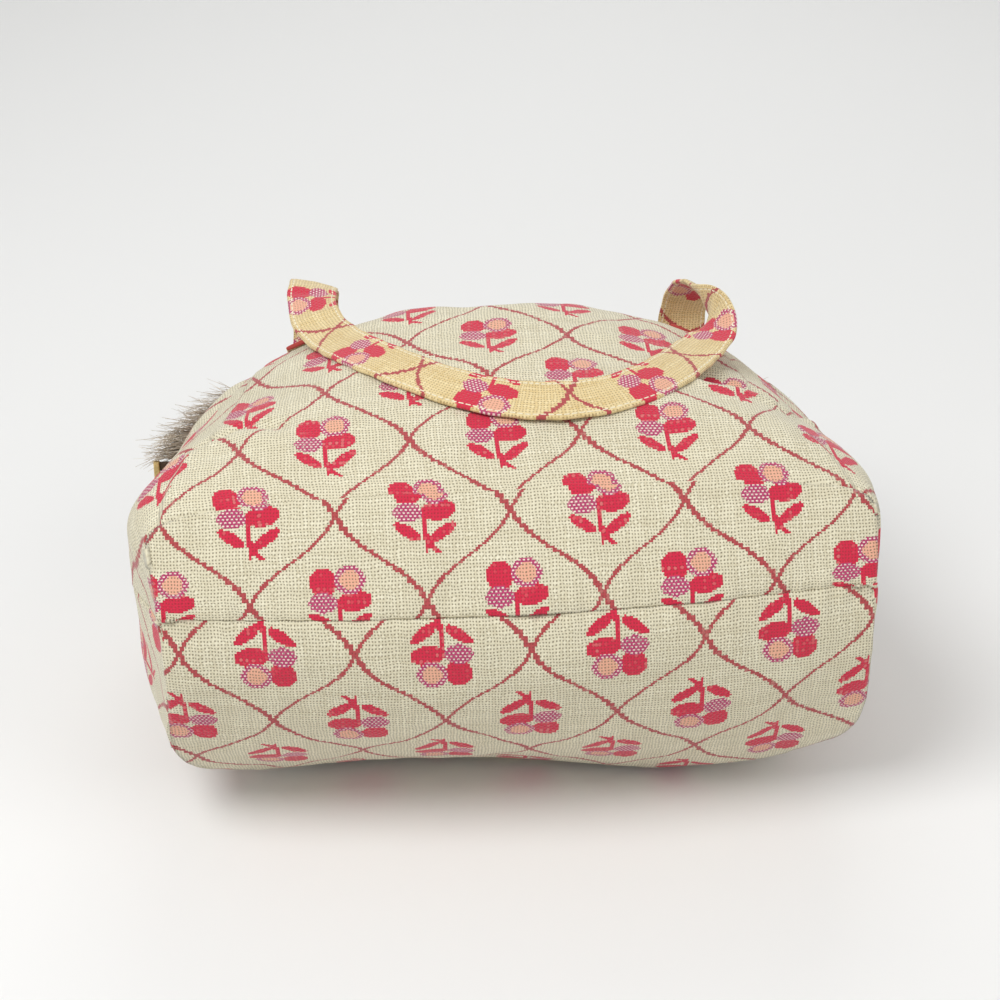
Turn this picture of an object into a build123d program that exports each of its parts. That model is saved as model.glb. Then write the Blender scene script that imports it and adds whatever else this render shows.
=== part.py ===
from build123d import *
from math import cos, radians, sin
import os

# Woven tote bag with a boxed base and a fringed mouth, stuffed full and lying on its
# back panel. Millimetres. X runs along the base, Y from the base to the mouth, Z up.
# The back handle lies flat on the table under the belly.

# Cloth
cloth_thickness = 1.5
hem_depth = 20.0              # the hem is doubled inside the mouth
sewn_gap = 0.3                # hairline between two sewn edges
seat_gap = 0.3                # between pieces that lie on each other
seam_allowance = 9.0          # cloth turned in along the seams

# Base
base_length = 322.0           # along the bottom seam, from corner to corner
base_nose = -6.0              # foremost point of the bulging base
corner_nose = 9.0             # the same at the two boxed corners
nose_height = 105.0
base_lean = 0.0100            # how fast the base leans back above and below its nose
corner_lean = 0.0065          # the same at the boxed corners
seam_height = 131.0           # of the bottom seam over the table

# Mouth
mouth_distance = 228.0        # from the base to the mouth corners
mouth_height = 86.0           # of the mouth corners over the table
mouth_tilt = 14.5             # degrees that the mouth looks downwards
mouth_half_width = 161.0
mouth_rise = 62.0             # front hem over the corners
mouth_drop = 72.0             # back hem under the corners
mouth_shift = -4.0            # the mouth has slumped to the left
mouth_power = 1.8             # 2 is an ellipse, less is more pointed at the corners

# Handles
strap_width = 25.0
strap_thickness = 3.0
strap_spread = 192.0          # between the middles of a handle's two ends
strap_overlap = 36.0          # sewn length at each end
strap_lift = 0.9              # from the cloth to a strap that lies on it
strap_step = 5.0              # between the sections that a strap is drawn through
belly_clearance = 0.6         # from the back handle up to the flat of the belly

# Zip, unzipped, with its closed end hanging out of the mouth's left corner
tape_thickness = 0.6
tape_lift = 0.6               # from the hem's edge out to the tape
tape_width = 14.0
tail_width = 5.0              # of each tape, past the corner
tail_length = 17.5            # past the mouth's left corner
tooth_pitch = 2.5
tooth_width = 1.0
tooth_length = 2.0
tooth_thickness = 1.6
tooth_gap = 0.2
clip_width = 3.0              # brass clip across the zip's closed end
clip_length = 11.0
clip_wall = 1.0
slider_length = 7.5
slider_width = 6.4
slider_wall = 0.8
slider_gap = 0.3
bail_width = 1.6
bail_wall = 0.8
pin_radius = 0.6
pin_gap = 0.3
ball_radius = 2.9
ball_reach = 8.0              # from the pull's pin to its ball
pull_angle = 110.0            # at rest, from lying out over the clip

# Fringe
fringe_thickness = 1.0
fringe_lift = 0.6             # from the tape out to the fringe
fringe_root = 5.0             # sewn along the hem's edge
fringe_step = 6.5
fringe_length = 20.0

belly_height = strap_thickness + belly_clearance
fall = (seam_height - mouth_height) / mouth_distance

# Cross-sections between the base and the mouth: distance, half width, top, bottom,
# squareness of the upper and the lower half, sideways shift, tilt in degrees
cross_sections = (
    (-14.0, 160.0, 160.0, 66.0, 12.0, 9.0, 0.0, 0.0),
    (25.0, 165.5, 165.0, 46.0, 9.0, 4.0, 0.0, 0.0),
    (60.0, 169.0, 181.0, 12.0, 3.4, 2.7, 0.0, 0.0),
    (100.0, 169.5, 194.0, -1.0, 2.4, 2.2, 0.0, 0.0),
    (145.0, 168.0, 198.5, -2.0, 2.05, 2.05, -1.0, 3.0),
    (190.0, 165.0, 190.0, 0.0, 1.95, 1.95, -2.0, 9.0),
)


def seam_line(y):
    """Height of the side seams at a distance from the base."""
    return seam_height - fall * y


def cross_plane(y, shift, tilt):
    """Plane of a cross-section. Local x is the bag's X, local y is up, local z is inwards."""
    lean = radians(tilt)
    return Plane(origin=(shift, y, seam_line(y)), x_dir=(1, 0, 0), z_dir=(0, -cos(lean), sin(lean)))


mouth_plane = cross_plane(mouth_distance, mouth_shift, mouth_tilt)


def rim_point(turn, half_width, rise, drop, top_power, low_power):
    """Point of a rounded outline, at an angle in degrees from local x."""
    across = cos(radians(turn))
    up = sin(radians(turn))
    power = top_power if up >= 0 else low_power
    height = rise if up >= 0 else drop
    size = (abs(across) ** power + abs(up) ** power) ** (1 / power)
    return Vector(half_width * across / size, height * up / size, 0)


def closed_outline(plane, half_width, rise, drop, top_power, low_power):
    """Outline of one cross-section: four spline edges that meet at its corners."""
    steps = 8
    edges = []
    for quarter in range(4):
        turns = [45 + 90 * quarter + 90 * step / steps for step in range(steps + 1)]
        points = [rim_point(turn, half_width, rise, drop, top_power, low_power) for turn in turns]
        edges.append(Edge.make_spline([plane.from_local_coords(point) for point in points]))
    return Wire(edges)


def base_side(inset):
    """Everything behind the bulging base, drawn in by inset."""
    rows = []
    for x in range(-200, 201, 50):
        share = (2 * x / base_length) ** 2
        nose = base_nose + (corner_nose - base_nose) * share + inset
        lean = base_lean + (corner_lean - base_lean) * share
        rows.append([Vector(x, nose + lean * (z - nose_height) ** 2, z) for z in range(-20, 241, 20)])
    return Solid.extrude(Face.make_surface_from_array_of_points(rows), Vector(0, 500, 0))


def body(inset):
    """The stuffed form of the bag, drawn in all round by inset, with a flat mouth."""
    outlines = []
    for y, half_width, top, bottom, top_power, low_power, shift, tilt in cross_sections:
        rise = top - seam_line(y) - inset
        drop = seam_line(y) - bottom - inset
        plane = cross_plane(y, shift, tilt)
        outlines.append(closed_outline(plane, half_width - inset, rise, drop, top_power, low_power))
    outlines.append(mouth_outline(inset))
    above = Box(600, 900, 300, align=(Align.CENTER, Align.CENTER, Align.MIN))
    table = Pos(0, 0, belly_height + inset) * above
    return Solid.make_loft(outlines) & base_side(inset) & table


def mouth_outline(inset):
    """Outline of the mouth, drawn in by inset."""
    rise = mouth_rise - inset
    drop = mouth_drop - inset
    return closed_outline(mouth_plane, mouth_half_width - inset, rise, drop, mouth_power, mouth_power)


def seam_block(side, gap):
    """Everything above (side 1) or below (side -1) the plane of the side and bottom seams."""
    seam_plane = Plane(origin=(0, 0, seam_height), x_dir=(1, 0, 0), z_dir=(0, fall, 1))
    return seam_plane * Pos(0, 0, side * (200 + gap)) * Box(800, 1000, 400)


def mouth_slab(depth):
    """Everything within a depth of the mouth."""
    return mouth_plane * Pos(0, 0, depth / 2) * Box(800, 800, depth)


def panels(outer):
    """The two cloths: each is a panel, half of the base and half of both sides."""
    inner = body(cloth_thickness)
    hem_inside = body(2 * cloth_thickness)
    allowance_inside = body(seam_allowance)
    cloths = []
    for side in (1, -1):
        half = seam_block(side, sewn_gap / 2)
        beside_seam = half & seam_block(-side, -sewn_gap / 2 - cloth_thickness)
        skin = (outer & half) - inner
        hem = (inner & mouth_slab(hem_depth) & half) - hem_inside
        turned_in = (inner & beside_seam) - allowance_inside
        cloths.append(skin + hem + turned_in)
    return cloths


def loft_strap(stations):
    """A flat strap through stations, each a middle point and a direction across the strap."""
    path = Edge.make_spline([point for point, across in stations])
    reached = [0.0]
    for (point, across), (after, across_after) in zip(stations, stations[1:]):
        reached.append(reached[-1] + (after - point).length)
    count = round(path.length / strap_step)
    outlines = []
    index = 0
    for step in range(count + 1):
        distance = reached[-1] * step / count
        while index < len(stations) - 2 and reached[index + 1] < distance:
            index += 1
        share = (distance - reached[index]) / (reached[index + 1] - reached[index])
        along = path.tangent_at(step / count, PositionMode.PARAMETER)
        across = stations[index][1].normalized() * (1 - share) + stations[index + 1][1].normalized() * share
        across = (across - along * across.dot(along)).normalized()
        middle = path.position_at(step / count, PositionMode.PARAMETER)
        section = Plane(origin=middle, x_dir=across, z_dir=along) * Rectangle(strap_width, strap_thickness)
        outlines.append(section.wire())
    return Solid.make_loft(outlines)


def on_panel(outer, point, direction, lift):
    """Where a line from inside the bag leaves the panel, lifted along the panel's normal."""
    hits = outer.find_intersection_points(Axis(point, direction))
    hit, normal = max(hits, key=lambda pair: pair[0].dot(Vector(direction)))
    if normal.dot(Vector(direction)) < 0:
        normal = -normal
    return hit + normal * (lift + strap_thickness / 2), normal


def sewn_end(outer, x, side):
    """Stations of a strap's end on the outside of the hem, the way out and the way off the cloth."""
    up = mouth_plane.y_dir * side
    points = []
    for depth in (strap_overlap, strap_overlap * 0.7, strap_overlap * 0.4, strap_overlap * 0.2, 2.0):
        inside = mouth_plane.from_local_coords((x - mouth_shift, 0, depth))
        points.append(on_panel(outer, inside, up, 3 * seat_gap))
    outwards = (points[-1][0] - points[-2][0]).normalized()
    hand = -1 if x < 0 else 1
    stations = []
    for point, normal in points:
        across = outwards.cross(normal)
        if across.X * hand < 0:
            across = -across
        stations.append((point, across))
    return stations, outwards, up


def hairpin(sewn, bends):
    """Stations where a strap leaves the hem and turns back over its own end."""
    stations, outwards, up = sewn
    hem_point, hem_across = stations[-1]
    level = Vector(1 if hem_across.X > 0 else -1, 0, 0)
    turned = []
    for index, (outward, upward, inward) in enumerate(bends):
        share = (index + 1) / len(bends)
        point = hem_point + outwards * outward + up * upward - level * inward
        turned.append((point, hem_across * (1 - share) + level * share))
    return turned


def front_handle(outer):
    """Sewn to the front hem, it stands up behind the hem and flops forward over the panel."""
    start = sewn_end(outer, 2 - strap_spread / 2, 1)
    finish = sewn_end(outer, 8 + strap_spread / 2, 1)
    stations = start[0] + hairpin(start, ((12, 6, 0), (19, 20, 1), (15, 38, 2), (0, 53, 3)))
    # Where the strap lies on the front panel: x, y, lift over the cloth, roll in degrees
    lying = (
        (-86, 197, 11.0, 0), (-79, 170, 1.5, 0), (-66, 143, 0, 0), (-44, 115, 0, 0),
        (-14, 94, 0, 0), (20, 86, 0, 0), (50, 91, 0, 0), (76, 111, 0, 0),
        (94, 140, 2.0, -10), (106, 168, 9.0, -22),
    )
    points = [on_panel(outer, (x, y, 100), (0, 0, 1), strap_lift + lift) for x, y, lift, roll in lying]
    for index, (point, normal) in enumerate(points):
        before = points[max(index - 1, 0)][0]
        after = points[min(index + 1, len(points) - 1)][0]
        along = (after - before).normalized()
        across = along.cross(normal)
        stations.append((point, across.rotate(Axis((0, 0, 0), along), lying[index][3])))
    stations += reversed(hairpin(finish, ((12, 6, 0), (20, 22, -1), (13, 42, -2), (-4, 52, -3))))
    stations += reversed(finish[0])
    return loft_strap(stations)


def back_handle(outer):
    """Sewn to the back hem, it turns under and lies flat on the table below the belly."""
    start = sewn_end(outer, -strap_spread / 2, -1)
    finish = sewn_end(outer, strap_spread / 2, -1)
    bends = ((9, 1, 0), (15.5, 8, 0), (15, 17, 0))
    stations = start[0] + hairpin(start, bends)
    # Where the strap lies on the table: x, y, lift over the table
    flat = (
        (-97, 218, 4), (-97, 209, 0.4), (-97, 199, 0), (-94, 172, 0), (-82, 138, 0), (-60, 107, 0),
        (-26, 83, 0), (16, 73, 0), (54, 83, 0), (79, 108, 0), (92, 140, 0), (97, 172, 0),
        (98, 199, 0), (98, 209, 0.4), (98, 218, 4),
    )
    points = [Vector(x, y, strap_thickness / 2 + lift) for x, y, lift in flat]
    for index, point in enumerate(points):
        along = points[min(index + 1, len(points) - 1)] - points[max(index - 1, 0)]
        stations.append((point, along.cross(Vector(0, 0, 1))))
    stations += reversed(hairpin(finish, bends))
    stations += reversed(finish[0])
    return loft_strap(stations)


tape_edge = tooth_length / 2 + tooth_gap
corner = -mouth_half_width
tail_end = corner - tail_length
slider_outer = tail_end + clip_width + slider_gap
slider_inner = slider_outer + slider_length
zip_plane = mouth_plane.offset(-tape_lift - tape_thickness / 2)
fringe_plane = mouth_plane.offset(-tape_lift - tape_thickness - fringe_lift - fringe_thickness)


def half_rim(side, half_width, height, start):
    """Points round one half of the mouth, from near the left corner to the right corner."""
    turns = [start - start * step / 24 for step in range(25)]
    points = [rim_point(turn, half_width, height, height, mouth_power, mouth_power) for turn in turns]
    return [(point.X, side * point.Y) for point in points]


def toothed_edge(side):
    """The edge of an open zip tape that carries the teeth, from the slider to the right corner."""
    height = (mouth_rise if side > 0 else mouth_drop) - tape_width
    points = [(x, y + side * tape_edge) for x, y in half_rim(side, mouth_half_width - 1, height, 176)]
    return Edge.make_spline([Vector(slider_inner, side * tape_edge)] + [Vector(x, y) for x, y in points])


def zip_tape(side):
    """A zip tape sewn on the hem's edge, with a tail that runs past the left corner."""
    height = (mouth_rise if side > 0 else mouth_drop) - seat_gap
    rim = [Vector(x, y) for x, y in half_rim(side, mouth_half_width - seat_gap, height, 172)]
    rim[-1] = Vector(rim[-1].X, side * tape_edge)
    sewn_edge = Edge.make_spline([Vector(slider_inner, side * (tape_edge + tail_width))] + rim)
    free_edge = toothed_edge(side)
    tail = Polyline(
        (sewn_edge @ 0),
        (tail_end, side * (tape_edge + tail_width), 0),
        (tail_end, side * tape_edge, 0),
        (free_edge @ 0),
    )
    right_end = Edge.make_line(sewn_edge @ 1, free_edge @ 1)
    outline = Wire([sewn_edge, free_edge, right_end] + list(tail.edges()))
    return zip_plane * Pos(0, 0, -tape_thickness / 2) * extrude(Face(outline), tape_thickness, dir=(0, 0, 1))


def tooth(point, inwards):
    """One tooth that starts a little off the tape's edge and points inwards."""
    block = Solid.make_box(tooth_length, tooth_width, tooth_thickness)
    seat = Plane(origin=point + inwards * tooth_gap, x_dir=inwards, z_dir=(0, 0, 1))
    return zip_plane * seat * Pos(0, -tooth_width / 2, -tooth_thickness / 2) * block


def zip_teeth(side):
    """The teeth of one tape: meshed inside the slider, parted round the mouth."""
    placed = []
    inwards = Vector(0, -side, 0)
    first = slider_outer + tooth_width / 2 + slider_gap + (0 if side > 0 else tooth_pitch / 2)
    for index in range(2):
        placed.append(tooth(Vector(first + index * tooth_pitch, side * tape_edge, 0), inwards))
    edge = toothed_edge(side)
    distance = tooth_pitch * (0.5 if side > 0 else 1.0)
    while distance < edge.length - 6 * tooth_pitch:
        point = edge.position_at(distance, PositionMode.LENGTH)
        along = edge.tangent_at(distance, PositionMode.LENGTH)
        placed.append(tooth(point, along.cross(Vector(0, 0, side))))
        distance += tooth_pitch
    return Compound(placed)


def zip_top_stops():
    """A brass stop at the right end of each row of teeth."""
    placed = []
    for side in (1, -1):
        edge = toothed_edge(side)
        distance = edge.length - 5 * tooth_pitch
        point = edge.position_at(distance, PositionMode.LENGTH)
        along = edge.tangent_at(distance, PositionMode.LENGTH)
        outer = point + along.cross(Vector(0, 0, side)) * tooth_gap
        seat = Plane(origin=outer, x_dir=along, z_dir=(0, 0, side))
        size = (tooth_pitch, 1.5 * tooth_length, tooth_thickness)
        stop = Box(*size, align=(Align.CENTER, Align.MAX, Align.CENTER))
        placed.append(zip_plane * seat * fillet(stop.edges().filter_by(Axis.Z), tooth_length / 4))
    return Compound([solid for stop in placed for solid in stop.solids()])


def zip_end_clip():
    """Brass clip pressed round the closed end of both tapes."""
    thickness = tape_thickness + 2 * (seat_gap + clip_wall)
    width = clip_width + seat_gap
    block = Box(width, clip_length + 2 * clip_wall, thickness, align=(Align.MIN, Align.CENTER, Align.CENTER))
    block = fillet(block.edges().filter_by(Axis.Y), clip_wall * 0.7)
    reach = 2 * (tape_edge + tail_width + seat_gap)
    slot = Box(width, reach, tape_thickness + 2 * seat_gap, align=(Align.MIN, Align.CENTER, Align.CENTER))
    return zip_plane * Pos(tail_end - seat_gap - clip_wall, 0, 0) * (block - Pos(clip_wall, 0, 0) * slot)


def zip_slider():
    """Slider at the end of its run: two plates on a wedge, lips over the tapes, and a bail."""
    channel = tooth_thickness / 2 + slider_gap
    slot = tape_thickness / 2 + slider_gap
    height = channel + slider_wall
    block = Box(slider_length, slider_width, 2 * height, align=(Align.MIN, Align.CENTER, Align.CENTER))
    block = fillet(block.edges().filter_by(Axis.Z), slider_width / 4)
    inside = slider_width - 2 * slider_wall
    hollow = Box(slider_length, inside, 2 * channel, align=(Align.MIN, Align.CENTER, Align.CENTER))
    sides = Box(slider_length, slider_width, 2 * slot, align=(Align.MIN, Align.CENTER, Align.CENTER))
    wedge = Pos(slider_length - slider_wall, 0, 0) * Cylinder(slider_wall * 0.6, 2 * channel)
    bail_inside = 2 * (pin_radius + 2 * pin_gap)
    bail_outside = bail_inside + 2 * bail_wall
    bail_height = 2 * pin_radius + 3 * pin_gap + bail_wall
    bail = Box(bail_outside, bail_width, bail_height, align=(Align.CENTER, Align.CENTER, Align.MAX))
    bail = fillet(bail.edges().filter_by(Axis.Y).sort_by(Axis.Z)[:2], bail_wall)
    eye = Box(bail_inside, bail_width, bail_height - bail_wall, align=(Align.CENTER, Align.CENTER, Align.MAX))
    bail = Pos(slider_length / 2, 0, -height) * (bail - eye)
    return zip_plane * Pos(slider_outer, 0, 0) * (block - hollow - sides + wedge + bail)


pin_depth = tooth_thickness / 2 + slider_gap + slider_wall + 2 * pin_gap + pin_radius
pin_plane = zip_plane * Pos(slider_outer + slider_length / 2, 0, -pin_depth)


def zip_pull():
    """Fork on a pin through the bail, ending in a brass ball."""
    arm_gap = bail_width / 2 + pin_gap
    arm_width = 1.0
    pin = Rot(90, 0, 0) * Cylinder(pin_radius, 2 * (arm_gap + arm_width))
    neck_start = bail_width / 2 + bail_wall + pin_radius + 2 * pin_gap + 1.0
    pull = pin
    for side in (1, -1):
        arm = Box(neck_start + arm_width, arm_width, 2 * pin_radius, align=(Align.MIN, Align.CENTER, Align.CENTER))
        pull += Pos(0, side * (arm_gap + arm_width / 2), 0) * arm
    neck = Box(arm_width, 2 * (arm_gap + arm_width), 2 * pin_radius, align=(Align.MIN, Align.CENTER, Align.CENTER))
    round_stem = Cylinder(pin_radius, ball_reach - neck_start, align=(Align.CENTER, Align.CENTER, Align.MIN))
    stem = Rot(0, 90, 0) * round_stem
    pull += Pos(neck_start, 0, 0) * neck
    pull += Pos(neck_start, 0, 0) * stem
    pull += Pos(ball_reach, 0, 0) * Sphere(ball_radius)
    return pin_plane * Rot(0, 180 - pull_angle, 0) * pull


def upright(face):
    """The same flat face, looking along +Z."""
    return face if face.faces()[0].normal_at().Z > 0 else -face.faces()[0]


def fringe(side):
    """Frayed strip along one hem: a sewn root and tapering tufts combed towards the corners."""
    height = mouth_rise if side > 0 else mouth_drop
    points = half_rim(side, mouth_half_width, height - seat_gap, 180)
    rim = Edge.make_spline([Vector(x, y) for x, y in points])
    root = half_rim(side, mouth_half_width - seat_gap, height - seat_gap, 180)
    inner = half_rim(side, mouth_half_width - fringe_root, height - fringe_root, 180)
    band = make_face([
        Edge.make_spline([Vector(x, y) for x, y in root]),
        Edge.make_spline([Vector(x, y) for x, y in inner]),
        Edge.make_line(Vector(*root[0]), Vector(*inner[0])),
        Edge.make_line(Vector(*root[-1]), Vector(*inner[-1])),
    ])
    comb = upright(band)
    distance = 2 * fringe_step
    index = 0
    while distance < rim.length - 2 * fringe_step:
        index += 1
        point = rim.position_at(distance, PositionMode.LENGTH)
        along = rim.tangent_at(distance, PositionMode.LENGTH)
        distance += fringe_step
        x = point.X + mouth_shift
        outward_hand = 1 if x > 0 else -1
        beside_strap = abs(x) - strap_spread / 2
        if -1.7 * strap_width < beside_strap < 1.2 * strap_width:
            continue
        outwards = along.cross(Vector(0, 0, -side))
        sweep = outward_hand * (0.45 + 0.3 * sin(2.4 * index))
        direction = (outwards + along * sweep).normalized()
        length = fringe_length * (0.85 + 0.2 * sin(1.7 * index))
        over_table = mouth_height + point.Y * cos(radians(mouth_tilt)) - 2 * fringe_thickness
        if direction.Y < 0:
            length = min(length, over_table / -direction.Y)
        tip = point + direction * length
        base = point - outwards * fringe_root / 2
        comb += upright(make_face(Polyline(
            (base - along * fringe_step * 0.4),
            (base + along * fringe_step * 0.4),
            (tip + along * fringe_step * 0.14),
            (tip - along * fringe_step * 0.14),
            close=True,
        )))
    comb -= Pos(corner, 0) * Rectangle(4 * slider_width, 3 * slider_width)
    for x in (-strap_spread / 2, 4 + strap_spread / 2):
        comb -= Pos(x - mouth_shift, 0) * Rectangle(1.7 * strap_width, 6 * mouth_rise)
    return fringe_plane * extrude(comb, fringe_thickness, dir=(0, 0, 1))


def main():
    os.makedirs("parts", exist_ok=True)
    outer = body(0)
    front_panel, back_panel = panels(outer)
    nodes = {
        "front_panel": front_panel,
        "back_panel": back_panel,
        "front_handle": front_handle(outer),
        "back_handle": back_handle(outer),
        "front_zip_tape": zip_tape(1),
        "back_zip_tape": zip_tape(-1),
        "front_zip_teeth": zip_teeth(1),
        "back_zip_teeth": zip_teeth(-1),
        "zip_top_stops": zip_top_stops(),
        "zip_end_clip": zip_end_clip(),
        "zip_slider": zip_slider(),
        "zip_pull": zip_pull(),
        "front_fringe": fringe(1),
        "back_fringe": fringe(-1),
    }
    # The origin is on the table, under the middle of the whole
    extent = Compound(list(nodes.values())).bounding_box()
    shift = Pos(-extent.center().X, -extent.center().Y, -extent.min.Z)
    for name, solid in nodes.items():
        export_step(shift * solid, f"parts/{name}.step")


if __name__ == "__main__":
    main()
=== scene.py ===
import bpy, math
import numpy as np
from mathutils import Matrix, Vector


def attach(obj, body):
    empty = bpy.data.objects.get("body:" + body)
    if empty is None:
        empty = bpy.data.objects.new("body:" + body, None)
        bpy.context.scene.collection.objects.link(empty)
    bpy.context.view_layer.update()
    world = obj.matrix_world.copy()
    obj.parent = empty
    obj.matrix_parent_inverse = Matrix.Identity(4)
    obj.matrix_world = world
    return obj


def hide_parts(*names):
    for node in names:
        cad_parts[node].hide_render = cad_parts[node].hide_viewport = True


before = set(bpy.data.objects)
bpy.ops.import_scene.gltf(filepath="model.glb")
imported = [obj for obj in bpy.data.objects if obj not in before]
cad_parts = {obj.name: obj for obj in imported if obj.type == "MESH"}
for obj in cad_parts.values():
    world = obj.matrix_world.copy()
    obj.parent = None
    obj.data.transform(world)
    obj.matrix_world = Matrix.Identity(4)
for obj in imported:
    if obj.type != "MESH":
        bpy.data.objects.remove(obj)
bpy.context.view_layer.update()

# All lengths below are in millimetres in the bag's own layout, with x along the base, y from the
# base to the mouth and z up; toFrame puts them in metres in the shared frame.
frameShift = np.array([7.04, -126.56, 0.03])
pi = math.pi


def toFrame(points):
    # (p + shift) / 1000
    return (np.asarray(points, float) + frameShift) * 0.001


def makeMesh(name, points, faces, uv=None, extraUv=None):
    # faces: an array of quads, or a list of polygons; uv: one pair per face corner, in millimetres
    mesh = bpy.data.meshes.new(name)
    mesh.from_pydata(toFrame(points).tolist(), [],
                     faces if isinstance(faces, list) else faces.tolist())
    for label, values in (("cloth", uv), ("edge", extraUv)):
        if values is not None:
            layer = mesh.uv_layers.new(name=label)
            layer.data.foreach_set("uv", np.asarray(values, float).ravel())
    mesh.polygons.foreach_set("use_smooth", [True] * len(mesh.polygons))
    mesh.update()
    piece = bpy.data.objects.new(name, mesh)
    bpy.context.collection.objects.link(piece)
    return piece


def gridFaces(rows, columns, flip=False):
    # quads between neighbouring points of a rows by columns grid
    index = np.arange(rows * columns).reshape(rows, columns)
    quads = np.stack([index[:-1, :-1], index[:-1, 1:], index[1:, 1:], index[1:, :-1]], axis=-1)
    quads = quads.reshape(-1, 4)
    return quads[:, ::-1] if flip else quads


def naturalSpline(knots, values, at):
    # cubic spline with no bend at its ends, through values[k] at knots[k],
    # for whole arrays of values
    count = len(knots)
    gaps = np.diff(knots)
    matrix = np.eye(count)
    right = np.zeros((count,) + values.shape[1:])
    for k in range(1, count - 1):
        matrix[k, k - 1:k + 2] = gaps[k - 1], 2 * (gaps[k - 1] + gaps[k]), gaps[k]
        right[k] = 6 * ((values[k + 1] - values[k]) / gaps[k]
                        - (values[k] - values[k - 1]) / gaps[k - 1])
    bend = np.linalg.solve(matrix, right.reshape(count, -1)).reshape(right.shape)
    cell = np.clip(np.searchsorted(knots, at) - 1, 0, count - 2)
    gap = gaps[cell]
    a = (knots[cell + 1] - at) / gap
    b = 1 - a
    wide = (slice(None),) + (None,) * (values.ndim - 1)
    a, b, gap = a[wide], b[wide], gap[wide]
    curve = a * values[cell] + b * values[cell + 1]
    return curve + ((a ** 3 - a) * bend[cell] + (b ** 3 - b) * bend[cell + 1]) * gap ** 2 / 6


print("shape of the stuffed bag")
bag = {
    "seamHeight": 131.0, "mouthHeight": 86.0, "mouthDistance": 228.0,
    "baseLength": 322.0, "baseNose": -6.0, "cornerNose": 9.0, "noseHeight": 105.0,
    "baseLean": 0.0100, "cornerLean": 0.0065, "lowShare": 0.80, "bellyShare": 0.24,
    "bellyPlace": 92.0, "bellyWidth": 95.0, "tableGap": 3.6,
    "clothThickness": 1.5, "columns": 260, "baseRows": 34, "wallRows": 150,
    "columnCrowding": 0.10, "rowCrowding": 1.15, "fineRows": 500,
}
# distance, half width, top, bottom, squareness above and below the seam, sideways shift, tilt
sections = np.array([
    [-14.0, 158.0, 161.0, 52.0, 26.0, 20.0, 0.0, 0.0],
    [25.0, 163.5, 167.0, 24.0, 16.0, 8.0, -1.0, 0.0],
    [60.0, 173.0, 182.0, 0.0, 4.8, 3.8, -4.0, 0.0],
    [100.0, 173.0, 194.0, -3.0, 2.7, 2.5, -4.0, 0.0],
    [145.0, 170.0, 198.5, -3.0, 2.1, 2.1, -3.0, 3.0],
    [190.0, 165.0, 190.0, 0.0, 1.95, 1.95, -2.0, 9.0],
    [228.0, 161.0, 148.0, 14.0, 1.8, 1.8, -4.0, 14.5],
])


def seamLine(y):
    return bag["seamHeight"] - (bag["seamHeight"] - bag["mouthHeight"]) / bag["mouthDistance"] * y


def ringPoints(section, angle, inset=0.0):
    # rounded outline: (a cos t, h sin t) divided by (|cos t|^p + |sin t|^p)^(1/p), tilted about x
    y, half, top, bottom, squareTop, squareLow, shift, tilt = section
    middle = seamLine(y)
    up = np.sin(angle) >= 0
    power = np.where(up, squareTop, squareLow)
    height = np.where(up, top - middle, middle - bottom) - inset
    size = (np.abs(np.cos(angle)) ** power + np.abs(np.sin(angle)) ** power) ** (1 / power)
    across = (half - inset) * np.cos(angle) / size + shift
    rise = height * np.sin(angle) / size
    lean = math.radians(tilt)
    return np.stack([across, y + rise * math.sin(lean), middle + rise * math.cos(lean)], axis=-1)


def baseSurface(x, z):
    # y = nose + lean (z - noseHeight)^2, both eased towards the corners with (2x / length)^2; below
    # the nose the lean is less, and least over the belly at the right
    share = (2 * x / bag["baseLength"]) ** 2
    nose = bag["baseNose"] + (bag["cornerNose"] - bag["baseNose"]) * share
    lean = bag["baseLean"] + (bag["cornerLean"] - bag["baseLean"]) * share
    belly = bag["bellyShare"] * np.exp(-((x - bag["bellyPlace"]) / bag["bellyWidth"]) ** 2)
    lean = lean * np.where(z < bag["noseHeight"], bag["lowShare"] - belly, 1.0)
    return nose + lean * (z - bag["noseHeight"]) ** 2


def smooth(low, high, value):
    # 0 below low, 1 above high, 3s^2 - 2s^3 between
    s = np.clip((value - low) / (high - low), 0, 1)
    return s * s * (3 - 2 * s)


def along(points, axis):
    # running length of the grid lines along one axis
    steps = np.linalg.norm(np.diff(points, axis=axis), axis=-1)
    return runningSum(steps, axis)


def runningSum(steps, axis):
    # the steps added up along one axis, from 0
    start = np.zeros_like(np.take(steps, [0], axis=axis))
    return np.concatenate([start, np.cumsum(steps, axis=axis)], axis=axis)


def acrossRows(points):
    # running distance from row to row, measured square to the rows, as a cross thread has it
    steps = np.diff(points, axis=0)
    rowWay = np.gradient(points, axis=1)
    rowWay = (rowWay[1:] + rowWay[:-1]) / 2
    rowWay /= np.maximum(np.linalg.norm(rowWay, axis=-1, keepdims=True), 1e-9)
    steps = steps - rowWay * (steps * rowWay).sum(axis=-1, keepdims=True)
    return runningSum(np.linalg.norm(steps, axis=-1), 0)


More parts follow.
